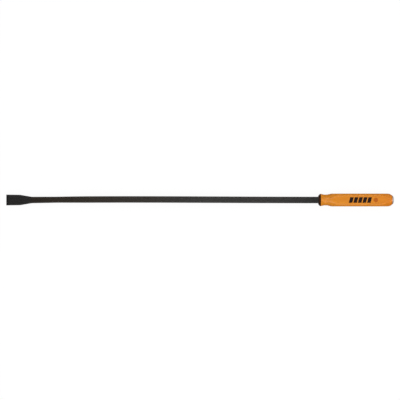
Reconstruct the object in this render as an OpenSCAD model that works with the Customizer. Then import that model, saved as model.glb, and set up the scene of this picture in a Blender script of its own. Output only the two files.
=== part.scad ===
// Straight pry bar. One forged steel bar runs the whole length: a flared chisel
// blade, a square shaft and a keyed tang that goes right through the moulded
// grip to a steel strike cap, which a cross pin holds on the tang's spigot.
//
// X runs along the bar, from the chisel edge (-X) to the strike cap (+X), and Z
// is up. The origin is under the middle of the length, on the plane of the
// grip's lower flat. Inside the modules, s is the distance from the chisel edge
// and r the distance from the bar's axis.

/* [Overall] */
// Length from the chisel edge to the crown of the strike cap
overall_length = 1143; // [900:1:1480]
// Length of the handle: bolster, grip, washer and cap together
handle_length = 222.2; // [205:0.2:300]

/* [Bar] */
// Side of the square bar
bar_size = 19.05; // [17:0.05:22]
// Radius along the bar's long edges
bar_edge_r = 3; // [1:0.5:4]
// Length over which the square bar is forged down to the blade
forged_length = 235; // [180:5:300]

/* [Blade] */
// Width of the blade at the chisel edge
blade_tip_w = 31.8; // [26:0.2:40]
// Width of the blade at its shoulders
blade_root_w = 30.6; // [24:0.2:38]
// Radius of the blade's two corners beside the chisel edge
blade_corner_r = 1.2; // [0.4:0.2:4]
// Distance from the chisel edge to the shoulders
blade_length = 41.5; // [25:0.5:60]
// Distance over which the shoulders draw in to the neck
shoulder_length = 33.5; // [20:0.5:60]
// Width of the bar just behind the shoulders
throat_w = 18.8; // [15:0.1:22]
// Width at the narrowest place of the forged neck
neck_w = 17.6; // [14:0.1:20]
// Distance from the chisel edge to the narrowest place
neck_at = 148; // [120:1:170]
// Thickness of the blade at the tip, before the bevel is ground
blade_tip_t = 3.6; // [2.5:0.1:6]
// Thickness left along the chisel edge
edge_t = 1.2; // [0.6:0.1:2]
// Length of the ground bevel
bevel_length = 5.5; // [3:0.5:12]

/* [Tang] */
// Side of the square tang inside the grip
tang_size = 16; // [12:0.5:17]
// Radius along the tang's long edges
tang_edge_r = 2; // [0.5:0.5:3]
// Number of rows of keying notches in the tang's edges
key_rows = 4; // [2:1:5]
// Length of one keying notch
key_length = 10; // [6:1:14]
// Depth of a keying notch, square to the tang's edge
key_depth = 1.6; // [0.8:0.2:2.4]
// Diameter of the spigot that the strike cap sits on
spigot_d = 12; // [10:0.5:13]
// Length of the spigot
spigot_length = 14; // [11:1:16]

/* [Bolster] */
// Diameter of the bolster where it meets the grip
bolster_d = 36.2; // [32:0.2:36.8]
// Diameter of the bolster's front face
bolster_face_d = 26; // [25.5:0.5:29]
// Length of the bolster along the bar
bolster_length = 5.6; // [5:0.2:9]
// Radius of the bolster's bulging flank in section
bolster_flank_r = 14; // [8:1:40]
// Depth of the square pocket that takes the end of the bar
bolster_pocket = 2; // [1:0.5:3]

/* [Grip] */
// Distance between opposite flats
grip_flats = 37.6; // [36:0.2:40]
// Diameter over the rounded corners
grip_corners_d = 45.4; // [42:0.2:46.6]
// Diameter of the lip behind the bolster
lip_d = 37.4; // [36:0.2:40]
// Diameter of the waist behind the lip
waist_d = 31.8; // [30:0.2:34]
// Diameter of the grip's rear face
grip_end_d = 28.4; // [27.2:0.2:30]

/* [Strike cap] */
// Diameter of the cap's head
cap_d = 25.4; // [24:0.2:27]
// Height of the straight rim under the cap's crown
rim_height = 0.5; // [0.3:0.1:3]
// Radius of the crown that the hammer meets
crown_r = 25; // [20:1:60]
// Radius of the rounding between the crown and the rim
crown_fillet_r = 2; // [1:0.2:4]
// Diameter of the boss that reaches into the grip
boss_d = 20; // [18:0.5:21]
// Thickness of the washer between the cap and the grip
washer_t = 0.8; // [0.6:0.1:2]
// Diameter of the washer
washer_d = 25; // [23:0.2:27.2]
// Diameter of the cross pin through the boss and the spigot
pin_d = 4; // [3:0.5:5]

/* [Print] */
// Number of slanted bars printed on the upper flat
stripe_count = 5; // [3:1:6]
// Length of one bar along the grip
stripe_w = 10.6; // [4:0.2:10.8]
// Distance from one bar to the next
stripe_pitch = 13.4; // [11:0.2:14]
// Place of the first bar behind the grip's front face
stripes_at = 88.7; // [84:0.1:92]
// Height of the bars across the flat
stripe_h = 16.4; // [8:0.2:18]
// How far a bar leans along the grip over its height
stripe_slant = 4.4; // [0:0.2:6]
// Diameter of the printed dot
dot_d = 13; // [6:0.5:14]
// Place of the dot behind the grip's front face
dot_at = 160.9; // [158:0.1:164]
// Depth to which the prints are stamped into the flat
stamp_depth = 0.3; // [0.2:0.05:0.5]
// Thickness of the printed film
film_t = 0.12; // [0.05:0.01:0.15]

/* [Hidden] */

arc_steps = 8; // chords in one rounded corner of an outline
forge_steps = 24; // stations along the forged taper
round_fn = 96; // sides of a round surface in the preview
cut_over = 1; // how far a cutter runs past the face it cuts
slab_depth = 80; // deeper than any section, for the outlines that cross
running_gap = 0.05; // clearance round the tang in the bolster and in the washer

axis_z = grip_flats / 2; // height of the bar's axis over the lower flat
s_handle = overall_length - handle_length; // front face of the bolster
s_grip = s_handle + bolster_length; // front face of the grip
crown_s = overall_length - crown_r; // centre of the crown
fillet_x = cap_d / 2 - crown_fillet_r; // centre of the rounding at the crown's edge
fillet_s = crown_s + sqrt(pow(crown_r - crown_fillet_r, 2) - fillet_x * fillet_x);
s_cap = fillet_s - rim_height; // underside of the cap's head
s_washer = s_cap - washer_t; // rear face of the grip
boss_length = 22; // from the tang's shoulder to the cap's head
s_shoulder = s_cap - boss_length; // end of the square tang
s_bar_end = s_handle + bolster_pocket; // end of the full square bar
s_pin = s_shoulder + spigot_length / 2;
s_keys = s_grip + 40; // first row of keying notches
key_pitch = (s_shoulder - 15 - key_length - s_keys) / (key_rows - 1);
edge_share = 0.8; // largest edge radius of the forged end, as a share of half its thickness

// ---- outlines -------------------------------------------------------------

function flat_point(p) = [p[0], p[1]];

// Arc of radius r that rounds the corner at b between a and c
function corner_arc(a, b, c, r) =
    let (
        u = (a - b) / norm(a - b),
        v = (c - b) / norm(c - b),
        opening = acos(u * v),
        turn = 180 - opening,
        centre = b + (u + v) / norm(u + v) * r / sin(opening / 2),
        first = b + u * r / tan(opening / 2) - centre,
        last = b + v * r / tan(opening / 2) - centre
    )
    [for (i = [0:arc_steps])
        let (t = i / arc_steps)
        centre + (sin(turn * (1 - t)) * first + sin(turn * t) * last) / sin(turn)];

// Closed outline from corners [x, y, radius]; a radius of 0 stays sharp
function rounded(corners) =
    [for (i = [0:len(corners) - 1])
        let (n = len(corners), b = flat_point(corners[i]))
        each (corners[i][2] == 0
            ? [b]
            : corner_arc(flat_point(corners[(i + n - 1) % n]), b, flat_point(corners[(i + 1) % n]), corners[i][2]))];

// Both sides of an outline that is symmetric about y = 0, from its upper points
function mirrored(upper) =
    concat(upper, [for (i = [len(upper) - 1:-1:0]) [upper[i][0], -upper[i][1]]]);

// Upper side of the forged end in plan, from the chisel edge to the full bar
blade_side = rounded([
    [0, 0, 0],
    [0, blade_tip_w / 2, blade_corner_r],
    [blade_length, blade_root_w / 2, 14],
    [blade_length + shoulder_length, throat_w / 2, 60],
    [neck_at, neck_w / 2, 900],
    [forged_length, bar_size / 2, 0]]);

// Half the forged end's width, thickness and width over its broken edges at s. The
// width leaves out the blade's two corners, which only the outline in plan rounds off.
function half_w(s) = lookup(max(s, blade_corner_r), blade_side);

// The taper follows a sine over this many degrees. It stops short of 90, so that it meets the
// square bar at a slight edge, across the bar's underside, on which the tool lies.
taper_turn = 70;
function taper(s) = pow(sin(taper_turn * s / forged_length) / sin(taper_turn), 1.25);
function half_t(s) = (blade_tip_t + (bar_size - blade_tip_t) * taper(s)) / 2;

function half_diagonal(s) =
    (half_w(s) + half_t(s)) / sqrt(2)
    - min(bar_edge_r, edge_share * half_t(s)) * (sqrt(2) - 1);

function forge_stations(from) =
    [for (i = [0:forge_steps]) from + (forged_length - from) * i / forge_steps];

// The bevel is ground into the upper face only
function side_outline() =
    let (stations = forge_stations(bevel_length))
    concat(
        [[0, -blade_tip_t / 2], [0, edge_t - blade_tip_t / 2]],
        [for (s = stations) [s, half_t(s)]],
        [for (i = [len(stations) - 1:-1:0]) [stations[i], -half_t(stations[i])]]);

function diagonal_outline() = mirrored([for (s = forge_stations(0)) [s, half_diagonal(s)]]);

function grip_profile() =
    rounded([
        [s_grip, 0, 0],
        [s_grip, lip_d / 2, 1],
        [s_grip + 9, waist_d / 2, 25],
        [s_grip + 21, waist_d / 2, 10],
        [s_grip + 46.5, grip_corners_d / 2, 40],
        [s_washer - 31.5, grip_corners_d / 2, 40],
        [s_washer - 6.1, grip_flats / 2 - 0.8, 16],
        [s_washer, grip_end_d / 2, 0],
        [s_washer, 0, 0]]);

// ---- shared shapes --------------------------------------------------------

// Puts a part that is drawn along +X from the chisel edge in its place
module placed() {
    translate([-overall_length / 2, 0, axis_z]) children();
}

// Turns a flat half section about the bar's axis: its x is r and its y is s
module turned() {
    rotate([0, 90, 0]) rotate_extrude($fn = round_fn) children();
}

module rounded_square(side, r) {
    square([side, side - 2 * r], center = true);
    square([side - 2 * r, side], center = true);
    for (x = [-1, 1], y = [-1, 1])
        translate([x * (side / 2 - r), y * (side / 2 - r)]) circle(r = r, $fn = round_fn / 2);
}

// Square bar with rounded edges from s = from to s = to
module square_bar(side, r, from, to) {
    translate([from, 0, 0])
        rotate([90, 0, 90])
            linear_extrude(to - from)
                rounded_square(side, r);
}

module round_bar(d, from, to) {
    translate([from, 0, 0])
        rotate([0, 90, 0])
            cylinder(d = d, h = to - from, $fn = round_fn);
}

// An outline along the bar as a deep slab, turned about the bar's axis
module slab(turn, outline) {
    rotate([turn, 0, 0])
        linear_extrude(slab_depth, center = true)
            polygon(outline);
}

// The blade and the forged taper, up to the full square bar
module forged_end() {
    intersection() {
        slab(0, mirrored(blade_side));
        slab(90, side_outline());
        slab(45, diagonal_outline());
        slab(-45, diagonal_outline());
    }
}

// Notches across the tang's four edges, which the moulded grip fills
module key_notches() {
    reach = (tang_size / 2 - tang_edge_r) * sqrt(2) + tang_edge_r - key_depth;
    for (row = [0:key_rows - 1], turn = [45:90:315])
        rotate([turn, 0, 0])
            translate([s_keys + row * key_pitch, -tang_size / 2, reach])
                cube([key_length, tang_size, tang_size]);
}

module tang() {
    difference() {
        square_bar(tang_size, tang_edge_r, s_bar_end, s_shoulder);
        key_notches();
    }
}

// Half section of the bolster: its flank is an arc from the front face to the grip
module bolster_section() {
    front = [bolster_face_d / 2, s_handle];
    rear = [bolster_d / 2, s_grip];
    chord = norm(rear - front);
    inwards = [front[1] - rear[1], rear[0] - front[0]] / chord;
    centre = (front + rear) / 2 + inwards * sqrt(pow(bolster_flank_r, 2) - pow(chord / 2, 2));
    intersection() {
        translate([0, s_handle]) square([bolster_d / 2, bolster_length]);
        translate(centre) circle(r = bolster_flank_r, $fn = 2 * round_fn);
    }
}

// Half section of the cap's head: crown, fillet and rim
module head_section() {
    reach = 2 * (overall_length - s_cap) / (fillet_s - crown_s);
    translate([0, s_cap]) square([cap_d / 2, rim_height]);
    translate([fillet_x, fillet_s])
        intersection() {
            circle(r = crown_fillet_r, $fn = round_fn);
            square(crown_fillet_r);
        }
    intersection() {
        translate([0, crown_s]) circle(r = crown_r, $fn = 4 * round_fn);
        polygon([
            [0, fillet_s],
            [fillet_x, fillet_s],
            [fillet_x * (1 + reach), fillet_s + (fillet_s - crown_s) * reach],
            [0, fillet_s + (fillet_s - crown_s) * reach]]);
    }
}

module pin_hole() {
    translate([s_pin, 0, 0])
        rotate([90, 0, 0])
            cylinder(d = pin_d, h = boss_d + 2 * cut_over, center = true, $fn = 32);
}

// One slanted bar of the print, centred on [s, 0]
module stripe(s) {
    translate([s, 0, 0])
        polygon([
            [-stripe_w / 2 - stripe_slant / 2, -stripe_h / 2],
            [stripe_w / 2 - stripe_slant / 2, -stripe_h / 2],
            [stripe_w / 2 + stripe_slant / 2, stripe_h / 2],
            [-stripe_w / 2 + stripe_slant / 2, stripe_h / 2]]);
}

module stripes_2d() {
    first = s_grip + stripes_at;
    for (i = [0:stripe_count - 1]) stripe(first + i * stripe_pitch);
}

module dot_2d() {
    translate([s_grip + dot_at, 0]) circle(d = dot_d, $fn = 48);
}

// A layer of the print: its foot lies depth below the upper flat
module print_layer(depth, height) {
    translate([0, 0, grip_flats / 2 - depth])
        linear_extrude(height) children();
}

// ---- the pieces -----------------------------------------------------------

// Forged bar: blade, shaft, keyed tang and spigot in one piece of steel
module pry_bar() {
    color([0.19, 0.18, 0.18])
        placed()
            difference() {
                union() {
                    forged_end();
                    square_bar(bar_size, bar_edge_r, forged_length, s_bar_end);
                    tang();
                    round_bar(spigot_d, s_shoulder, s_shoulder + spigot_length);
                }
                pin_hole();
            }
}

// Domed steel collar between the bar's shoulder and the grip
module bolster() {
    color([0.07, 0.06, 0.06])
        placed()
            difference() {
                turned() bolster_section();
                square_bar(bar_size + 2 * running_gap, bar_edge_r, s_handle - cut_over, s_bar_end);
                square_bar(tang_size + 2 * running_gap, tang_edge_r, s_bar_end - cut_over, s_grip + cut_over);
            }
}

// Moulded grip: a turned form with four flats, moulded round the tang and boss
module grip() {
    color([0.88, 0.54, 0.17])
        placed()
            difference() {
                intersection() {
                    turned() polygon([for (p = grip_profile()) [p[1], p[0]]]);
                    translate([s_grip - cut_over, -grip_flats / 2, -grip_flats / 2])
                        cube([handle_length, grip_flats, grip_flats]);
                }
                tang();
                round_bar(boss_d, s_shoulder, s_cap);
                print_layer(stamp_depth, stamp_depth + cut_over) {
                    stripes_2d();
                    dot_2d();
                }
            }
}

// Thin black washer that the cap's head closes against
module cap_washer() {
    color([0.1, 0.1, 0.1])
        placed()
            difference() {
                round_bar(washer_d, s_washer, s_cap);
                round_bar(boss_d + 2 * running_gap, s_washer - cut_over, s_cap + cut_over);
            }
}

// Domed steel cap whose boss bears on the tang's shoulder
module strike_cap() {
    color([0.72, 0.72, 0.73])
        placed()
            difference() {
                union() {
                    turned() head_section();
                    round_bar(boss_d, s_shoulder, s_cap);
                }
                round_bar(spigot_d, s_shoulder - cut_over, s_shoulder + spigot_length + 0.5);
                pin_hole();
            }
}

// Slotted spring pin across the boss and the spigot
module cap_pin() {
    wall = 0.8;
    slot = 0.9;
    length = boss_d - 2;
    color([0.45, 0.45, 0.47])
        placed()
            translate([s_pin, 0, 0])
                rotate([90, 0, 0])
                    difference() {
                        cylinder(d = pin_d, h = length, center = true, $fn = 32);
                        cylinder(d = pin_d - 2 * wall, h = length + 2 * cut_over, center = true, $fn = 32);
                        translate([0, -slot / 2, -length])
                            cube([pin_d, slot, 2 * length]);
                    }
}

// Black film at the foot of the stamped bars
module printed_stripes() {
    color([0.07, 0.05, 0.05])
        placed()
            print_layer(stamp_depth, film_t) stripes_2d();
}

// Brown film at the foot of the stamped dot
module printed_dot() {
    color([0.66, 0.32, 0.08])
        placed()
            print_layer(stamp_depth, film_t) dot_2d();
}

pry_bar();
bolster();
grip();
cap_washer();
strike_cap();
cap_pin();
printed_stripes();
printed_dot();
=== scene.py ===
"""The looks of a straight pry bar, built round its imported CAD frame.

Shapes are worked out in millimetres and become metres when a mesh is made. Each
piece is a skin over rings of points: s is a ring's distance from the chisel edge
along the bar, y is across the blade's width, z is up from the bar's own axis, and
r is the distance from that axis. The frame gives where each piece starts and ends.
"""

import math

import bmesh
import bpy
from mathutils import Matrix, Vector, noise


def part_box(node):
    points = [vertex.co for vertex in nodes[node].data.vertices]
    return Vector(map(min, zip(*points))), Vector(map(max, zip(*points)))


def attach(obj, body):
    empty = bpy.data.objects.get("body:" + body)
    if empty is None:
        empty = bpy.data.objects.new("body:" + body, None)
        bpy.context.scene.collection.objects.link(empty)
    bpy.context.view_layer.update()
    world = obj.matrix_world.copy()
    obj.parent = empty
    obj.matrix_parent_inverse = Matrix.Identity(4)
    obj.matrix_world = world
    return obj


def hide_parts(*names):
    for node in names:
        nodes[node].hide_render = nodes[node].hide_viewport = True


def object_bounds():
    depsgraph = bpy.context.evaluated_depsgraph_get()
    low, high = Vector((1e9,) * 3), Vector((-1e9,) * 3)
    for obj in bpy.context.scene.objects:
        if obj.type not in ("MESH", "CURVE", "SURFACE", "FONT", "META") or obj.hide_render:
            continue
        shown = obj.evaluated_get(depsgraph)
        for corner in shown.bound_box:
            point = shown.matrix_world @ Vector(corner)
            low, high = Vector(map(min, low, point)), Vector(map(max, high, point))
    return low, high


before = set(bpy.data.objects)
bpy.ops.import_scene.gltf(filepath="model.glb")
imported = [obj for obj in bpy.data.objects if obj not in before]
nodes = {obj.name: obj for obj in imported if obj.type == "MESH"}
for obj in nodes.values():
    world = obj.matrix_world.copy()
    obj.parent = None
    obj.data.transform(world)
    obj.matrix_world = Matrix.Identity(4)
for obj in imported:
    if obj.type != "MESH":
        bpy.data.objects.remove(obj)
cad_low, cad_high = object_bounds()

MM = 0.001
BODY = "root"

# ---- the frame's own measures ------------------------------------------------


def stretch(node):
    """(first s, last s) of a CAD node along the bar, in millimetres."""
    low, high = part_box(node)
    return (low.x - cad_low.x) / MM, (high.x - cad_low.x) / MM


def width(node):
    """Size of a CAD node across the bar, in millimetres."""
    low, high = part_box(node)
    return (high.y - low.y) / MM


S_HANDLE, S_GRIP = stretch("bolster")
S_WASHER, S_CAP = stretch("cap_washer")
S_SHOULDER, S_END = stretch("strike_cap")
S_SPIGOT_END = stretch("pry_bar")[1]
BLADE_TIP_W = width("pry_bar")
BOLSTER_R = width("bolster") / 2
WASHER_R = width("cap_washer") / 2
CAP_R = width("strike_cap") / 2
grip_low, grip_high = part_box("grip")
HALF_FLATS = (grip_high.z - grip_low.z) / 2 / MM
AXIS_Z = (grip_high.z + grip_low.z) / 2 / MM

# ---- the design's sizes that the frame's boxes don't give --------------------

# square bar
BAR = 19.05
BAR_EDGE_R = 3.0

# blade and forged taper, from the chisel edge backwards
BLADE_CORNER_R = 1.2
BLADE_L = 41.5
BLADE_ROOT_W = 30.6
BLADE_ROOT_R = 14.0
SHOULDER_L = 33.5
THROAT_W = 18.8
THROAT_R = 60.0
NECK_AT = 148.0
NECK_W = 17.6
NECK_R = 900.0
FORGED = 235.0
TAPER_TURN = math.radians(70)
TAPER_POWER = 1.25
BLADE_TIP_T = 3.6
EDGE_T = 1.2
BEVEL_L = 5.5
EDGE_SHARE = 0.8

# hidden tang with its keying notches, and the spigot behind it
TANG = 16.0
TANG_EDGE_R = 2.0
KEY_ROWS = 4
KEY_L = 10.0
KEY_DEPTH = 1.6
KEY_FROM = 40.0
KEY_MARGIN = 15.0
SPIGOT_R = 6.0
SPIGOT_CHAMFER = 0.5

# bolster
BOLSTER_FACE_R = 13.0
BOLSTER_FLANK_R = 14.0
POCKET = 2.0
RUNNING_GAP = 0.05
S_BAR_END = S_HANDLE + POCKET

# grip: places are behind its front face, or before its rear face where they say so
LIP_R = 18.7
LIP_FACE_R = 16.8
LIP_ROUND = 1.0
WAIST_R = 15.9
WAIST_FROM = 9.0
WAIST_TO = 21.0
GRIP_CORNER_R = 22.7
CORNERS_FROM = 46.5
CORNERS_TO_REAR = 31.5
REAR_BEND_TO_REAR = 6.1
REAR_BEND_DROP = 0.8
GRIP_END_R = 14.2

# strike cap
BOSS_R = 10.0
BOSS_CHAMFER = 0.6
BORE_L = 14.5
CROWN_R = 25.0
CROWN_FILLET_R = 2.0

# ---- details of the meshes that are finer than the design --------------------

# bow of the long bar
BOW = 1.7

# unevenness of its skin: depth when rolled, what forging adds to it, lengths of its features,
# and where it starts, where the forging's share has grown, and where that has faded again
ROLLED_DEPTH = 0.05
FORGED_DEPTH = 0.13
LONG_SWELL = 34.0
HAMMER_MARK = 9.0
UNEVEN_FROM = 2.0
UNEVEN_GROWS = (8.0, 20.0)
UNEVEN_FADED = 1.2 * FORGED

# small roundings and chamfers
CHISEL_EASE = 0.3
BOLSTER_EASE = 0.3
GRIP_END_EASE = 0.3
CAP_EDGE_R = 0.25
WASHER_RIM_SHARE = 0.45

# creases between the grip's flats and corners, and its mould's parting line
CREASE = 1.3
SEAM_HEIGHT = 0.09
SEAM_HALF_ANGLE = math.radians(0.7)

# run of a sheer step between two rings, and the distance at which points are one
SHEER = 0.02
WELD = 0.001

# faces that meet at more than this angle, in degrees, keep a sharp edge
SHARP_ANGLE = 38

# ---- outlines and rings ------------------------------------------------------


def rounded_path(corners, steps=10):
    """Open path through corners (s, r, radius). Each but the first and last becomes an arc."""
    points = [Vector(corners[0][:2])]
    for before, (s, r, radius), after in zip(corners, corners[1:], corners[2:]):
        corner = Vector((s, r))
        back = (Vector(before[:2]) - corner).normalized()
        on = (Vector(after[:2]) - corner).normalized()
        half = back.angle(on) / 2
        centre = corner + (back + on).normalized() * radius / math.sin(half)
        first = corner + back * radius / math.tan(half) - centre
        last = corner + on * radius / math.tan(half) - centre
        points += [centre + first.slerp(last, i / steps) * radius for i in range(steps + 1)]
    points.append(Vector(corners[-1][:2]))
    return points


def lookup(path, s):
    """r of a path at s, between its points."""
    for (s0, r0), (s1, r1) in zip(path, path[1:]):
        if s <= s1:
            return r0 + (r1 - r0) * (s - s0) / (s1 - s0) if s1 > s0 else r1
    return path[-1][1]


def stations(*stops):
    """Places along s from the first stop on. Each further stop is (end, step), and the stretch
    before it is cut into even steps of about that length."""
    places = [stops[0]]
    for end, step in stops[1:]:
        start = places[-1]
        count = max(1, round((end - start) / step))
        places += [start + (end - start) * i / count for i in range(1, count + 1)]
    return places


def smooth_min(a, b, k):
    """The smaller of a and b, with the crease between them rounded over k."""
    h = max(k - abs(a - b), 0.0) / k
    return min(a, b) - h * h * k / 4


def polar(points):
    """(y, z) points from (angle, r) points round the bar's axis."""
    return [(r * math.cos(a), r * math.sin(a)) for a, r in points]


def circle(r, angles):
    """(y, z) points of a circle in the given directions."""
    return polar((a, r) for a in angles)


def even_angles(count):
    """Directions all round, in radians."""
    return [math.tau * i / count for i in range(count)]


def square_r(a, half, edge_r):
    """r of a square with rounded edges in direction a."""
    c, s = abs(math.cos(a)), abs(math.sin(a))
    flat = half / max(c, s)
    inner = half - edge_r
    if flat * min(c, s) <= inner:
        return flat
    across = inner * (c + s)
    return across + math.sqrt(max(across * across - 2 * inner * inner + edge_r * edge_r, 0.0))


def ring(s, outline):
    """An outline of (y, z) points at s, in metres in the row frame."""
    x = cad_low.x + s * MM
    return [Vector((x, y * MM, (AXIS_Z + z) * MM)) for y, z in outline]


def skin(name, rings, start="face", end="face"):
    """A mesh over rings of equal counts. start and end are face, pole (a fan to the ring's
    middle) or, both of them, loop, which joins the last ring to the first."""
    count = len(rings[0])
    points = [p for r in rings for p in r]
    faces = []
    spans = len(rings) if start == "loop" else len(rings) - 1
    for i in range(spans):
        a, b = i * count, (i + 1) % len(rings) * count
        faces += [(a + j, a + (j + 1) % count, b + (j + 1) % count, b + j) for j in range(count)]
    for how, base, turn in ((start, 0, -1), (end, (len(rings) - 1) * count, 1)):
        loop = [base + j for j in range(count)][::turn]
        if how == "face":
            faces.append(tuple(loop))
        elif how == "pole":
            middle = sum((points[j] for j in loop), Vector()) / count
            points.append(middle)
            faces += [(loop[j], loop[(j + 1) % count], len(points) - 1) for j in range(count)]
    mesh = bpy.data.meshes.new(name)
    mesh.from_pydata(points, [], faces)
    mesh.validate()
    obj = bpy.data.objects.new(name, mesh)
    bpy.context.scene.collection.objects.link(obj)
    face_outwards(mesh)
    shade(mesh)
    return obj


def face_outwards(mesh):
    """Turns every face over if the closed skin's volume comes out negative."""
    mesh.update()
    volume = sum(
        mesh.vertices[p.vertices[0]].co.dot(
            mesh.vertices[p.vertices[k]].co.cross(mesh.vertices[p.vertices[k + 1]].co)
        )
        for p in mesh.polygons
        for k in range(1, len(p.vertices) - 1)
    )
    if volume < 0:
        mesh.flip_normals()


def shade(mesh):
    """Smooth shading that stops at sharp edges."""
    mesh.shade_smooth()
    mesh.set_sharp_from_angle(angle=math.radians(SHARP_ANGLE))


def weigh_normals(obj):
    """Keeps flats flat next to rounded edges."""
    weighted = obj.modifiers.new("flats", "WEIGHTED_NORMAL")
    weighted.keep_sharp = True


def wander(s, y, z, size, seed=0.0):
    """Smooth noise between about -1 and 1 with features of that size in millimetres."""
    return noise.noise(Vector((s / size + seed, y / size - seed, z / size + 2 * seed)))


# ---- the forged bar ----------------------------------------------------------

BLADE_SIDE = rounded_path(
    [
        (0, 0, 0),
        (0, BLADE_TIP_W / 2, BLADE_CORNER_R),
        (BLADE_L, BLADE_ROOT_W / 2, BLADE_ROOT_R),
        (BLADE_L + SHOULDER_L, THROAT_W / 2, THROAT_R),
        (NECK_AT, NECK_W / 2, NECK_R),
        (FORGED, BAR / 2, 0),
    ]
)[1:]


def half_thickness(s):
    """Half the bar's height at s, before the bevel is ground into its upper face."""
    if s >= FORGED:
        return BAR / 2
    swell = (math.sin(TAPER_TURN * s / FORGED) / math.sin(TAPER_TURN)) ** TAPER_POWER
    return (BLADE_TIP_T + (BAR - BLADE_TIP_T) * swell) / 2


def rounded_rect(half_y, low, high, edge_r, per_corner=7, per_side=7):
    """Rectangle with rounded corners as (y, z) points, from the +y side's middle round by +z."""
    centre, half_z = (low + high) / 2, (high - low) / 2
    corners = []
    for k, (sy, sz) in enumerate(((1, 1), (-1, 1), (-1, -1), (1, -1))):
        cy, cz = sy * (half_y - edge_r), centre + sz * (half_z - edge_r)
        turns = [math.pi / 2 * (k + i / per_corner) for i in range(per_corner + 1)]
        corners.append([(cy + edge_r * math.cos(t), cz + edge_r * math.sin(t)) for t in turns])
    outline = []
    for k, corner in enumerate(corners):
        (y0, z0), (y1, z1) = corner[-1], corners[(k + 1) % 4][0]
        outline += corner
        outline += [
            (y0 + (y1 - y0) * i / per_side, z0 + (z1 - z0) * i / per_side)
            for i in range(1, per_side)
        ]
    return outline


def forge(s, outline, depth):
    """The uneven surface that a forging keeps, on an outline at s."""
    rough = []
    for y, z in outline:
        swell = 0.6 * wander(s, y * 2, z * 2, LONG_SWELL)
        marks = 0.4 * wander(s, y, z, HAMMER_MARK, seed=7.0)
        out = 1 + depth * (swell + marks) / math.hypot(y, z)
        rough.append((y * out, z * out))
    return rough


def forge_depth(s):
    """Unevenness at s: none at the ground edge, most behind the blade, little on rolled bar."""
    if s <= UNEVEN_FROM:
        return 0.0
    low, high = UNEVEN_GROWS
    grown = min(1.0, max(0.0, (s - low) / (high - low)))
    left = max(0.0, 1 - s / UNEVEN_FADED)
    return ROLLED_DEPTH + FORGED_DEPTH * grown * left


def bow(s):
    """How far the long bar strays sideways: nothing at the throat and at the handle, and BOW,
    its most, a third of the way along."""
    throat = BLADE_L + SHOULDER_L
    t = min(1.0, max(0.0, (s - throat) / (S_HANDLE - throat)))
    # the curve t * (1 - t) ** 2 is 4 / 27 at its highest, where t is a third
    return BOW * t * (1 - t) ** 2 * 27 / 4


def blade_ring(s):
    """Section of the bar between the chisel edge and the bolster."""
    half_t = half_thickness(s)
    half_w = lookup(BLADE_SIDE, s) if s < FORGED else BAR / 2
    short = max(0.0, CHISEL_EASE - s)
    ease = CHISEL_EASE - math.sqrt(CHISEL_EASE**2 - short**2)
    edge_top = EDGE_T - BLADE_TIP_T / 2
    bevel = edge_top + (half_thickness(BEVEL_L) - edge_top) * s / BEVEL_L
    top = min(bevel, half_t) - ease
    low = -half_t + ease
    almost_half = 0.47 * (top - low)
    edge_r = min(BAR_EDGE_R, EDGE_SHARE * half_t, almost_half)
    outline = rounded_rect(half_w - ease, low, top, edge_r)
    return ring(s, [(y + bow(s), z) for y, z in forge(s, outline, forge_depth(s))])


def key_rows():
    """Where the first row of the tang's keying notches starts, and the pitch of the rows."""
    first = S_GRIP + KEY_FROM
    return first, (S_SHOULDER - KEY_MARGIN - KEY_L - first) / (KEY_ROWS - 1)


def in_key(s):
    """True where the notches are. Rounding leaves out the very last place of the two middle
    rows, so that those notches run out over their length instead of ending in a step."""
    first, pitch = key_rows()
    return any(0 <= s - first - row * pitch <= KEY_L for row in range(KEY_ROWS))


def tang_outline(s, angles):
    """Section of the tang: a square, with its corners cut where the notches are."""
    notched = in_key(s)
    reach = (TANG / 2 - TANG_EDGE_R) * math.sqrt(2) + TANG_EDGE_R - KEY_DEPTH
    outline = []
    for a in angles:
        r = square_r(a, TANG / 2, TANG_EDGE_R)
        if notched:
            lean = abs((a % (math.pi / 2)) - math.pi / 4)
            r = min(r, reach / math.cos(lean))
        outline.append((a, r))
    return polar(outline)


def tang_stations():
    """Places along the tang, with a short ramp at both ends of each notch."""
    first, pitch = key_rows()
    ramp = 0.15
    places = []
    for row in range(KEY_ROWS):
        start = first + row * pitch
        places += [start - ramp, start, start + KEY_L, start + KEY_L + ramp]
    return places


def build_bar():
    """Blade, shaft, tang and spigot in one skin. Its rings are closest at the chisel edge."""
    tip = [0.0, 0.04, 0.12, 0.3, 0.5, 0.8, 1.2, 1.7, 2.4, 3.2, 4.2, 5.2, 5.5, 5.8]
    shaft = stations(6.6, (90, 1.4), (FORGED, 2.2), (S_BAR_END, 3.2))
    rings = [blade_ring(s) for s in tip + shaft]
    corner = math.atan2(BAR / 2 - BAR_EDGE_R, BAR / 2)
    angles = [corner + a for a in even_angles(len(rings[0]))]
    hidden = [S_BAR_END + SHEER, *tang_stations(), S_SHOULDER]
    rings += [ring(s, tang_outline(s, angles)) for s in hidden]
    for s, r in (
        (S_SHOULDER + SHEER, SPIGOT_R),
        (S_SPIGOT_END - SPIGOT_CHAMFER, SPIGOT_R),
        (S_SPIGOT_END, SPIGOT_R - SPIGOT_CHAMFER),
    ):
        rings.append(ring(s, circle(r, angles)))
    bar = skin("forged_bar", rings)
    weigh_normals(bar)
    return bar


# ---- bolster, washer and cap: turned pieces ----------------------------------


def arc_path(centre_s, centre_r, radius, start, stop, steps):
    """Points of an arc about (centre_s, centre_r). Angles are in degrees from +s towards +r."""
    turns = [math.radians(start + (stop - start) * i / steps) for i in range(steps + 1)]
    return [(centre_s + radius * math.cos(t), centre_r + radius * math.sin(t)) for t in turns]


def turned_rings(profile, count=96):
    """Rings of a turned piece from its half section's (s, r) points."""
    return [ring(s, circle(r, even_angles(count))) for s, r in profile]


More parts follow.
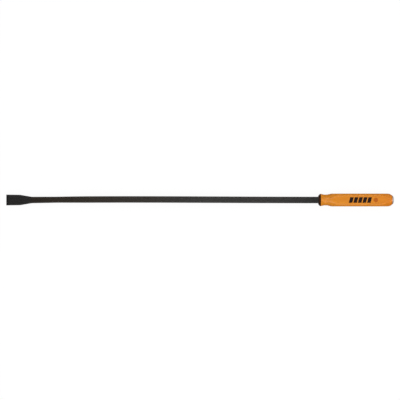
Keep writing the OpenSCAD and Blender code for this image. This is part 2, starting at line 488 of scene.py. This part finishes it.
def square_ring(s, half, edge_r, angles):
    """Ring of a square hole with rounded edges."""
    return ring(s, polar((a, square_r(a, half, edge_r)) for a in angles))


def build_bolster():
    """A collar whose flank bulges between its front face and the grip, over a stepped hole."""
    front = Vector((S_HANDLE, BOLSTER_FACE_R))
    rear = Vector((S_GRIP, BOLSTER_R))
    chord = rear - front
    inwards = Vector((chord.y, -chord.x)).normalized()
    reach = math.sqrt(BOLSTER_FLANK_R**2 - (chord.length / 2) ** 2)
    centre = (front + rear) / 2 + inwards * reach
    start, stop = front - centre, rear - centre
    steps = 16
    flank = [centre + start.slerp(stop, i / steps) * BOLSTER_FLANK_R for i in range(1, steps)]
    ease, third = BOLSTER_EASE, BOLSTER_EASE / 3
    outside = [(S_HANDLE, BOLSTER_FACE_R - ease), (S_HANDLE + third, BOLSTER_FACE_R)]
    outside += [tuple(p) for p in flank]
    outside += [(S_GRIP - third, BOLSTER_R - third), (S_GRIP, BOLSTER_R - ease)]
    rings = turned_rings(outside)
    hole = TANG / 2 + RUNNING_GAP
    pocket = BAR / 2 + RUNNING_GAP
    for s, half, edge_r in (
        (S_GRIP, hole, TANG_EDGE_R),
        (S_BAR_END, hole, TANG_EDGE_R),
        (S_BAR_END - SHEER / 2, pocket, BAR_EDGE_R),
        (S_HANDLE, pocket, BAR_EDGE_R),
    ):
        rings.append(square_ring(s, half, edge_r, even_angles(len(rings[0]))))
    return skin("domed_bolster", rings, "loop", "loop")


def build_washer():
    """A ring with a rounded rim."""
    soft = WASHER_RIM_SHARE * (S_CAP - S_WASHER)
    profile = arc_path(S_WASHER + soft, WASHER_R - soft, soft, 180, 90, 5)
    profile += arc_path(S_CAP - soft, WASHER_R - soft, soft, 90, 0, 5)
    profile += [(S_CAP, BOSS_R + RUNNING_GAP), (S_WASHER, BOSS_R + RUNNING_GAP)]
    return skin("seal_washer", turned_rings(profile), "loop", "loop")


def build_cap():
    """A head with a rounded crown, and under it the boss with the spigot's blind bore."""
    crown_s = S_END - CROWN_R
    fillet_r0 = CAP_R - CROWN_FILLET_R
    fillet_s = crown_s + math.sqrt((CROWN_R - CROWN_FILLET_R) ** 2 - fillet_r0**2)
    lean = math.degrees(math.atan2(fillet_r0, fillet_s - crown_s))
    bore_end = S_SHOULDER + BORE_L
    profile = [(bore_end, SPIGOT_R * 0.5), (bore_end, SPIGOT_R), (S_SHOULDER, SPIGOT_R)]
    profile += [(S_SHOULDER, BOSS_R - BOSS_CHAMFER), (S_SHOULDER + BOSS_CHAMFER, BOSS_R)]
    profile += [(S_CAP, BOSS_R)]
    profile += arc_path(S_CAP + CAP_EDGE_R, CAP_R - CAP_EDGE_R, CAP_EDGE_R, 180, 90, 5)
    profile += arc_path(fillet_s, fillet_r0, CROWN_FILLET_R, 90, lean, 10)
    profile += arc_path(crown_s, 0, CROWN_R, lean, 0, 14)[1:-1]
    return skin("domed_cap", turned_rings(profile), "pole", "pole")


# ---- the grip ----------------------------------------------------------------

GRIP_SIDE = rounded_path(
    [
        (S_GRIP, LIP_FACE_R, 0),
        (S_GRIP + SHEER / 2, LIP_R, LIP_ROUND),
        (S_GRIP + WAIST_FROM, WAIST_R, 25),
        (S_GRIP + WAIST_TO, WAIST_R, 10),
        (S_GRIP + CORNERS_FROM, GRIP_CORNER_R, 40),
        (S_WASHER - CORNERS_TO_REAR, GRIP_CORNER_R, 40),
        (S_WASHER - REAR_BEND_TO_REAR, HALF_FLATS - REAR_BEND_DROP, 16),
        (S_WASHER, GRIP_END_R, 0),
    ]
)


def grip_angles(count=144):
    """Even directions, with five close ones at the mould's parting line on both sides."""
    step = math.tau / count
    angles = []
    for i in range(count):
        if i % (count // 2) == 0:
            angles += [i * step + k * SEAM_HALF_ANGLE for k in (-1, -0.5, 0, 0.5, 1)]
        else:
            angles.append(i * step)
    return angles


def grip_outline(r, angles):
    """A circle cut by four flats, with soft creases and a faint parting line."""
    outline = []
    for a in angles:
        flat = HALF_FLATS / max(abs(math.cos(a)), abs(math.sin(a)))
        edge = smooth_min(r, flat, CREASE)
        across = abs(math.remainder(a, math.pi))
        if across < SEAM_HALF_ANGLE * 0.99:
            edge += SEAM_HEIGHT * (1 - across / SEAM_HALF_ANGLE)
        outline.append((a, edge))
    return polar(outline)


def build_grip():
    """The outside from the lip to the washer, then back inside along the boss and the tang."""
    angles = grip_angles()
    lip_end = S_GRIP + 3
    side = [tuple(p) for p in GRIP_SIDE if p[0] < lip_end - 0.05]
    evenly = stations(lip_end, (S_GRIP + 60, 0.9), (S_WASHER - 45, 1.7), (S_WASHER - 2, 0.9))
    side += [(s, lookup(GRIP_SIDE, s)) for s in [*evenly, S_WASHER - GRIP_END_EASE]]
    side.append((S_WASHER, GRIP_END_R - GRIP_END_EASE))
    rings = [ring(s, grip_outline(r, angles)) for s, r in side]
    rings += [ring(s, circle(BOSS_R, angles)) for s in (S_WASHER, S_SHOULDER)]
    tunnel = [S_SHOULDER - SHEER / 2, *reversed(tang_stations()), S_GRIP]
    rings += [ring(s, tang_outline(s, angles)) for s in tunnel]
    grip = skin("moulded_grip", rings, "loop", "loop")
    stamp(grip, ["printed_stripes", "printed_dot"])
    weigh_normals(grip)
    return grip


def merge(mesh, distance):
    """Joins points that are closer than a distance in millimetres."""
    work = bmesh.new()
    work.from_mesh(mesh)
    bmesh.ops.remove_doubles(work, verts=work.verts, dist=distance * MM)
    work.to_mesh(mesh)
    work.free()
    if "custom_normal" in mesh.attributes:
        mesh.attributes.remove(mesh.attributes["custom_normal"])


def stamp(obj, films):
    """Sinks the outlines of the printed films into a piece, from the films' feet upwards."""
    clear_above = 1 * MM
    for film in films:
        low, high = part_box(film)
        mesh = nodes[film].data.copy()
        merge(mesh, WELD)
        for v in mesh.vertices:
            if v.co.z > (low.z + high.z) / 2:
                v.co.z += clear_above
        cutter = bpy.data.objects.new("cutter_" + film, mesh)
        bpy.context.scene.collection.objects.link(cutter)
        cut = obj.modifiers.new("stamp", "BOOLEAN")
        cut.operation = "DIFFERENCE"
        cut.solver = "EXACT"
        cut.object = cutter
        bpy.context.view_layer.update()
        graph = bpy.context.evaluated_depsgraph_get()
        result = bpy.data.meshes.new_from_object(obj.evaluated_get(graph))
        obj.modifiers.remove(cut)
        obj.data = result
        bpy.data.objects.remove(cutter)
    merge(obj.data, 2 * WELD)
    shade(obj.data)


# ---- materials ---------------------------------------------------------------


class Nodes:
    """Short calls that add nodes to a tree."""

    def __init__(self, tree):
        self.tree = tree

    def add(self, kind, **settings):
        """A new node with some of its settings changed."""
        node = self.tree.nodes.new(kind)
        for key, value in settings.items():
            setattr(node, key, value)
        return node

    def put(self, socket, value):
        """A link if value is a socket, or a plain number or colour."""
        if isinstance(value, bpy.types.NodeSocket):
            self.tree.links.new(value, socket)
        else:
            socket.default_value = value

    def remap(self, value, low, high, to_low=0.0, to_high=1.0, smooth=False):
        """value, taken from the range low to high to another range and kept inside it."""
        kind = "SMOOTHSTEP" if smooth else "LINEAR"
        node = self.add("ShaderNodeMapRange", interpolation_type=kind)
        self.put(node.inputs["Value"], value)
        node.inputs["From Min"].default_value = low
        node.inputs["From Max"].default_value = high
        node.inputs["To Min"].default_value = to_low
        node.inputs["To Max"].default_value = to_high
        return node.outputs["Result"]

    def maths(self, operation, a, b=0.0):
        """A sum, a product or another operation on one or two values."""
        node = self.add("ShaderNodeMath", operation=operation)
        self.put(node.inputs[0], a)
        self.put(node.inputs[1], b)
        return node.outputs[0]

    def mix(self, amount, a, b, blend="MIX"):
        """a where amount is 0 and b blended over it where amount is 1."""
        node = self.add("ShaderNodeMix", data_type="RGBA", blend_type=blend)
        self.put(node.inputs["Factor"], amount)
        self.put(node.inputs["A"], a)
        self.put(node.inputs["B"], b)
        return node.outputs["Result"]


class Shader(Nodes):
    """A Principled material whose patterns are laid out in the object's own place."""

    def __init__(self, name, **constants):
        self.material = bpy.data.materials.new(name)
        self.material.use_nodes = True
        super().__init__(self.material.node_tree)
        self.surface = self.tree.nodes["Principled BSDF"]
        self.place = self.add("ShaderNodeTexCoord").outputs["Object"]
        for socket, value in constants.items():
            self.surface.inputs[socket.replace("_", " ")].default_value = value

    def pattern_place(self, sizes, shift):
        """The shaded point in units of a pattern's three sizes in millimetres, shifted."""
        mapping = self.add("ShaderNodeMapping")
        mapping.inputs["Scale"].default_value = [1 / (v * MM) for v in sizes]
        mapping.inputs["Location"].default_value = shift
        self.put(mapping.inputs["Vector"], self.place)
        return mapping.outputs["Vector"]

    def noise(self, size, detail=2.0, roughness=0.5, seed=0.0, distortion=0.0):
        """Noise from 0 to 1 with features of that size: one length or three, in millimetres."""
        sizes = size if isinstance(size, tuple) else (size, size, size)
        place = self.pattern_place(sizes, (seed, seed * 1.7, -seed))
        node = self.add("ShaderNodeTexNoise")
        node.inputs["Scale"].default_value = 1.0
        node.inputs["Detail"].default_value = detail
        node.inputs["Roughness"].default_value = roughness
        node.inputs["Distortion"].default_value = distortion
        self.put(node.inputs["Vector"], place)
        return node.outputs["Fac"]

    def pits(self, size, seed=0.0):
        """Round spots from 1 in the middle to 0, scattered a size in millimetres apart."""
        place = self.pattern_place((size, size, size), (seed, -seed, seed * 1.3))
        node = self.add("ShaderNodeTexVoronoi")
        node.inputs["Scale"].default_value = 1.0
        self.put(node.inputs["Vector"], place)
        return self.remap(node.outputs["Distance"], 0.0, 0.38, 1.0, 0.0, smooth=True)

    def along(self):
        """(s, y, z) of the shaded point as sockets, s from the frame's chisel edge, in metres."""
        split = self.add("ShaderNodeSeparateXYZ")
        self.put(split.inputs[0], self.place)
        s = self.maths("SUBTRACT", split.outputs["X"], cad_low.x)
        return s, split.outputs["Y"], split.outputs["Z"]

    def from_axis(self):
        """Distance of the shaded point from the bar's axis, in metres."""
        _, y, z = self.along()
        up = self.maths("SUBTRACT", z, AXIS_Z * MM)
        squares = self.maths("ADD", self.maths("MULTIPLY", y, y), self.maths("MULTIPLY", up, up))
        return self.maths("SQRT", squares)

    def tool_rings(self, pitch):
        """Rings round the bar's axis from 0 to 1, a pitch in millimetres apart."""
        turns = self.maths("MULTIPLY", self.from_axis(), math.tau / (pitch * MM))
        return self.remap(self.maths("SINE", turns), -1, 1)

    def edges(self):
        """1 along the bar's long rounded edges and 0 on its flats."""
        split = self.add("ShaderNodeSeparateXYZ")
        self.put(split.inputs[0], self.add("ShaderNodeTexCoord").outputs["Normal"])
        both = self.maths("MULTIPLY", split.outputs["Y"], split.outputs["Z"])
        return self.remap(self.maths("ABSOLUTE", both), 0.2, 0.48, smooth=True)

    def bump(self, height, depth, normal=None):
        """height from 0 to 1 over depth millimetres, on top of another bump."""
        node = self.add("ShaderNodeBump")
        node.inputs["Strength"].default_value = 1.0
        node.inputs["Distance"].default_value = depth * MM
        self.put(node.inputs["Height"], height)
        if normal is not None:
            self.put(node.inputs["Normal"], normal)
        return node.outputs["Normal"]

    def finish(self, color, roughness, normal):
        """The material, with its three patterns linked to its surface."""
        self.put(self.surface.inputs["Base Color"], color)
        self.put(self.surface.inputs["Roughness"], roughness)
        self.put(self.surface.inputs["Normal"], normal)
        return self.material


def gray(value, warm=0.0):
    """A neutral colour, or one whose red is raised and blue lowered by a share."""
    return (value * (1 + warm), value, value * (1 - warm), 1.0)


BLACK = gray(0.0)


def black_steel():
    """Black oxide on a forged and rolled skin: darkest at the blade, browner behind it, with
    mill scale, pits, roll marks, a belt-ground bevel and a little wear along the edges;
    painted shade darkens the bevel and the bar next to the bolster."""
    m = Shader("black_steel", Metallic=0.2, Specular_IOR_Level=0.31)
    blotch = m.noise((70, 14, 14), detail=4, roughness=0.6, seed=3.1)
    scale = m.noise((5, 2.6, 2.6), detail=6, roughness=0.65, seed=8.2)
    rolled = m.noise((60, 0.5, 0.5), detail=2, seed=1.4)
    grain = m.noise(0.55, detail=3, seed=5.5)
    patches = m.noise((16, 7, 7), detail=3, roughness=0.55, seed=12.5)
    pits = m.maths("MULTIPLY", m.pits(1.9, seed=4.0), m.remap(patches, 0.48, 0.62))
    s, _, _ = m.along()

    color = m.mix(m.remap(blotch, 0.3, 0.7), gray(0.023, warm=0.07), gray(0.034, warm=0.07))
    color = m.mix(m.remap(scale, 0.45, 0.7, 0.0, 0.5), color, gray(0.046))
    color = m.mix(m.remap(rolled, 0.62, 0.8, 0.0, 0.3), color, gray(0.06))
    color = m.mix(m.maths("MULTIPLY", pits, 0.6), color, gray(0.010, warm=0.3))
    # browned by the forge's heat from the shoulders on, and darker at both ends of the shaft:
    # towards the blade, and, as painted shade, where the bar runs into the bolster
    heated = m.remap(s, 60 * MM, 85 * MM, smooth=True)
    cooled = m.remap(s, 120 * MM, 550 * MM, 1.0, 0.0)
    color = m.mix(m.maths("MULTIPLY", heated, cooled), color, gray(0.92, warm=0.45), "MULTIPLY")
    color = m.mix(m.remap(s, 50 * MM, 620 * MM, 0.67, 0.0), color, BLACK)
    # painted shade: the bar darkened towards the bolster, where the bolster shades it
    color = m.mix(m.remap(s, 780 * MM, 900 * MM, 0.0, 0.42), color, BLACK)
    # bare steel where the edges are rubbed
    rubbed = m.noise((11, 2, 2), detail=4, roughness=0.7, seed=6.3)
    worn = m.maths("MULTIPLY", m.edges(), m.remap(rubbed, 0.5, 0.66))
    color = m.mix(m.maths("MULTIPLY", worn, 0.4), color, gray(0.09))

    roughness = m.remap(m.mix(0.35, scale, grain), 0.35, 0.65, 0.26, 0.46)
    roughness = m.maths("SUBTRACT", roughness, m.maths("MULTIPLY", worn, 0.1))
    normal = m.bump(scale, 0.09)
    normal = m.bump(m.maths("SUBTRACT", 1.0, pits), 0.05, normal)
    normal = m.bump(rolled, 0.015, normal)
    normal = m.bump(grain, 0.02, normal)
    # the bevel, with the belt's marks across it, and painted shade: its colour darkened for a face
    # turned away from the light
    belt = m.noise((9, 0.22, 0.22), detail=2, seed=2.7)
    ground = m.remap(s, (BEVEL_L - 0.4) * MM, BEVEL_L * MM, 1.0, 0.0)
    # painted shade on the bevel: darker because it faces away from the light
    color = m.mix(m.maths("MULTIPLY", ground, 0.6), color, BLACK)
    normal = m.bump(m.maths("MULTIPLY", belt, ground), 0.03, normal)
    return m.finish(color, roughness, normal)


def bolster_steel():
    """Turned steel, blackened, with fine tool rings, and tinted orange-brown as painted shade: the
    colour of the grip's orange lip in shadow.
    """
    m = Shader("bolster_steel", Metallic=0.2, Specular_IOR_Level=0.14)
    rings = m.tool_rings(0.5)
    blotch = m.noise(6, detail=5, roughness=0.6, seed=2.2)
    grain = m.noise(0.4, detail=3, seed=9.5)
    # painted shade: an orange-brown tint standing for the grip's orange lip in shadow, over
    # blackened steel
    color = m.mix(m.remap(blotch, 0.35, 0.65), (0.042, 0.013, 0.004, 1), (0.060, 0.019, 0.006, 1))
    roughness = m.remap(m.mix(0.5, grain, blotch), 0.35, 0.65, 0.32, 0.5)
    normal = m.bump(rings, 0.012)
    normal = m.bump(grain, 0.014, normal)
    return m.finish(color, roughness, normal)


def orange_plastic():
    """Glossy moulded plastic: faint flow marks along the grip, a fine peel and light scratches."""
    m = Shader("orange_plastic", Metallic=0.0, Specular_IOR_Level=0.35)
    flow = m.noise((55, 9, 9), detail=3, roughness=0.55, seed=4.4, distortion=0.6)
    cloud = m.noise(16, detail=2, seed=6.1)
    peel = m.noise(1.3, detail=2, seed=2.9)
    handling = m.noise((1.6, 0.35, 0.35), detail=3, roughness=0.7, seed=7.7)
    scratch = m.noise((14, 0.3, 0.3), detail=2, seed=10.2, distortion=0.3)
    color = m.mix(m.remap(flow, 0.3, 0.7), (0.70, 0.225, 0.009, 1), (0.77, 0.268, 0.014, 1))
    color = m.mix(m.remap(cloud, 0.35, 0.65, 0.0, 0.25), color, (0.69, 0.24, 0.016, 1))
    # a little redder towards the rear end
    s, _, _ = m.along()
    redder = m.remap(s, 1070 * MM, 1140 * MM)
    color = m.mix(redder, color, (1.0, 0.87, 0.82, 1), "MULTIPLY")
    rubbed = m.remap(handling, 0.58, 0.76, 0.0, 0.12)
    roughness = m.maths("ADD", m.remap(cloud, 0.3, 0.7, 0.27, 0.35), rubbed)
    normal = m.bump(peel, 0.012)
    normal = m.bump(flow, 0.02, normal)
    normal = m.bump(m.remap(scratch, 0.66, 0.74), 0.006, normal)
    return m.finish(color, roughness, normal)


def turned_steel():
    """Bright turned steel with fine rings round the axis and a few light scratches."""
    m = Shader("turned_steel", Metallic=1.0)
    rings = m.tool_rings(0.28)
    cloud = m.noise(4.5, detail=4, seed=1.9)
    scratch = m.noise((0.25, 7, 0.5), detail=2, seed=3.3)
    grain = m.noise(0.3, detail=2, seed=8.8)
    color = m.mix(m.remap(cloud, 0.3, 0.7), (0.88, 0.85, 0.84, 1), (0.97, 0.94, 0.93, 1))
    color = m.mix(m.remap(scratch, 0.66, 0.8, 0.0, 0.5), color, gray(0.45))
    roughness = m.remap(m.mix(0.5, cloud, rings), 0.25, 0.75, 0.42, 0.56)
    normal = m.bump(rings, 0.004)
    normal = m.bump(grain, 0.006, normal)
    normal = m.bump(scratch, 0.01, normal)
    return m.finish(color, roughness, normal)


def washer_plastic():
    """Dull black plastic with a fine grain."""
    m = Shader("washer_plastic", Metallic=0.0)
    grain = m.noise(0.35, detail=3, seed=5.1)
    color = m.mix(m.noise(3, detail=2, seed=2.0), gray(0.012), gray(0.022))
    return m.finish(color, m.remap(grain, 0.3, 0.7, 0.45, 0.65), m.bump(grain, 0.02))


def spring_steel():
    """Drawn strip, rolled into the slotted pin."""
    m = Shader("spring_steel", Metallic=1.0)
    drawn = m.noise((0.3, 6, 0.3), detail=2, seed=4.0)
    color = m.mix(m.remap(drawn, 0.3, 0.7), gray(0.24), gray(0.32))
    return m.finish(color, m.remap(drawn, 0.3, 0.7, 0.3, 0.45), m.bump(drawn, 0.01))


def ink(name, low, high):
    """Stamped film: it takes the grip's grain and is a little uneven in cover."""
    m = Shader(name, Metallic=0.0, Specular_IOR_Level=0.15)
    cover = m.noise(1.8, detail=4, roughness=0.6, seed=6.6)
    grain = m.noise(0.5, detail=2, seed=1.1)
    color = m.mix(m.remap(cover, 0.3, 0.7), low, high)
    return m.finish(color, m.remap(grain, 0.3, 0.7, 0.34, 0.46), m.bump(grain, 0.012))


# ---- dressing the frame ------------------------------------------------------


def dress(obj, node, material):
    """A piece stands for a CAD node, rides on the body and wears a material."""
    obj.data.materials.clear()
    obj.data.materials.append(material)
    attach(obj, BODY)
    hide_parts(node)


def recoat(node, material):
    """A CAD node that keeps its shape gets a finished material."""
    for slot in nodes[node].material_slots:
        slot.material = material


dress(build_bar(), "pry_bar", black_steel())
dress(build_bolster(), "bolster", bolster_steel())
dress(build_grip(), "grip", orange_plastic())
dress(build_washer(), "cap_washer", washer_plastic())
dress(build_cap(), "strike_cap", turned_steel())
recoat("cap_pin", spring_steel())
recoat("printed_stripes", ink("black_ink", (0.012, 0.003, 0.0012, 1), (0.022, 0.006, 0.003, 1)))
recoat("printed_dot", ink("brown_ink", (0.45, 0.105, 0.006, 1), (0.54, 0.130, 0.009, 1)))

# ---- stage: floor, light and camera ------------------------------------------

# what the camera sees behind the object, and the floor's own tone for bounced light
WHITE = 1.02
PAPER = 0.9

# share of real shading that the floor shows, and the distances in metres where it fades
FLOOR_SHADE = 0.08
SHADE_FROM, SHADE_TO = 0.9, 2.2
FLOOR_HALF = 40.0

# studio seen in reflections: its tones at the heights of a direction where they stop changing
DIM_LOW, DIM_HIGH = 0.05, 0.24
HEIGHT_LOW, HEIGHT_HIGH = -0.3, 0.8

# camera: width of the frame over the object's length, then lens and sensor in millimetres
FRAME_WIDTH = 1.0322
LENS = 100.0
SENSOR = 36.0


def build_floor():
    """White paper. The camera sees it close to pure white, with a faint share of its real
    shading round the object; light bounces off it as off plain paper."""
    corners = [(x * FLOOR_HALF, y * FLOOR_HALF) for x, y in ((-1, -1), (1, -1), (1, 1), (-1, 1))]
    mesh = bpy.data.meshes.new("floor")
    mesh.from_pydata([(x, y, cad_low.z) for x, y in corners], [], [(0, 1, 2, 3)])
    floor = bpy.data.objects.new("floor", mesh)
    bpy.context.scene.collection.objects.link(floor)
    material = bpy.data.materials.new("floor_white")
    material.use_nodes = True
    sheet = Nodes(material.node_tree)
    sheet.tree.nodes.clear()
    paper = sheet.add("ShaderNodeBsdfDiffuse")
    paper.inputs["Color"].default_value = gray(PAPER)
    glow = sheet.add("ShaderNodeEmission")
    glow.inputs["Color"].default_value = gray(WHITE)
    away = sheet.add("ShaderNodeVectorMath", operation="LENGTH")
    sheet.put(away.inputs[0], sheet.add("ShaderNodeTexCoord").outputs["Object"])
    least = 1 - FLOOR_SHADE
    share = sheet.remap(away.outputs["Value"], SHADE_FROM, SHADE_TO, least, 1.0, smooth=True)
    seen = sheet.add("ShaderNodeLightPath").outputs["Is Camera Ray"]
    mix = sheet.add("ShaderNodeMixShader")
    sheet.put(mix.inputs[0], sheet.maths("MULTIPLY", seen, share))
    sheet.put(mix.inputs[1], paper.outputs[0])
    sheet.put(mix.inputs[2], glow.outputs[0])
    sheet.put(sheet.add("ShaderNodeOutputMaterial").inputs["Surface"], mix.outputs[0])
    mesh.materials.append(material)
    floor.visible_glossy = False


def build_world():
    """White behind everything for the camera; a dim studio for the object itself."""
    world = bpy.data.worlds.new("studio")
    world.use_nodes = True
    sky = Nodes(world.node_tree)
    split = sky.add("ShaderNodeSeparateXYZ")
    sky.put(split.inputs[0], sky.add("ShaderNodeTexCoord").outputs["Generated"])
    dim = sky.remap(split.outputs["Z"], HEIGHT_LOW, HEIGHT_HIGH, DIM_LOW, DIM_HIGH)
    seen = sky.add("ShaderNodeLightPath").outputs["Is Camera Ray"]
    background = sky.tree.nodes["Background"]
    sky.put(background.inputs["Color"], sky.mix(seen, dim, gray(WHITE)))
    bpy.context.scene.world = world


def softbox(name, azimuth, elevation, distance, size, power):
    """An area light that looks at the middle of the object and that the camera doesn't see.
    Azimuth 0 is behind the strike cap and 90 is on the +Y side, in degrees."""
    light = bpy.data.lights.new(name, "AREA")
    light.shape = "RECTANGLE"
    light.size, light.size_y = size
    light.energy = power
    lamp = bpy.data.objects.new(name, light)
    lamp.visible_camera = False
    a, e = math.radians(azimuth), math.radians(elevation)
    away = Vector((math.cos(a) * math.cos(e), math.sin(a) * math.cos(e), math.sin(e)))
    lamp.location = away * distance
    lamp.rotation_mode = "QUATERNION"
    lamp.rotation_quaternion = away.to_track_quat("Z", "Y")
    bpy.context.scene.collection.objects.link(lamp)


def build_camera():
    """Straight down on the blade's face, with the blade on the left."""
    camera = bpy.data.cameras.new("camera")
    camera.sensor_width = SENSOR
    camera.lens = LENS
    camera.clip_end = 100.0
    eye = bpy.data.objects.new("camera", camera)
    distance = LENS / SENSOR * FRAME_WIDTH * (cad_high.x - cad_low.x)
    eye.location = (0.0, 0.0, AXIS_Z * MM + distance)
    bpy.context.scene.collection.objects.link(eye)
    bpy.context.scene.camera = eye


build_floor()
build_world()
softbox("key_front", -90, 58, 3.4, (3.6, 2.4), 60)
softbox("key_back", 90, 58, 3.4, (3.6, 2.4), 48)
softbox("fill_right", 0, 32, 3.6, (2.4, 2.4), 30)
softbox("fill_left", 180, 12, 3.6, (2.4, 1.4), 10)
build_camera()
bpy.context.scene.view_settings.view_transform = "Standard"
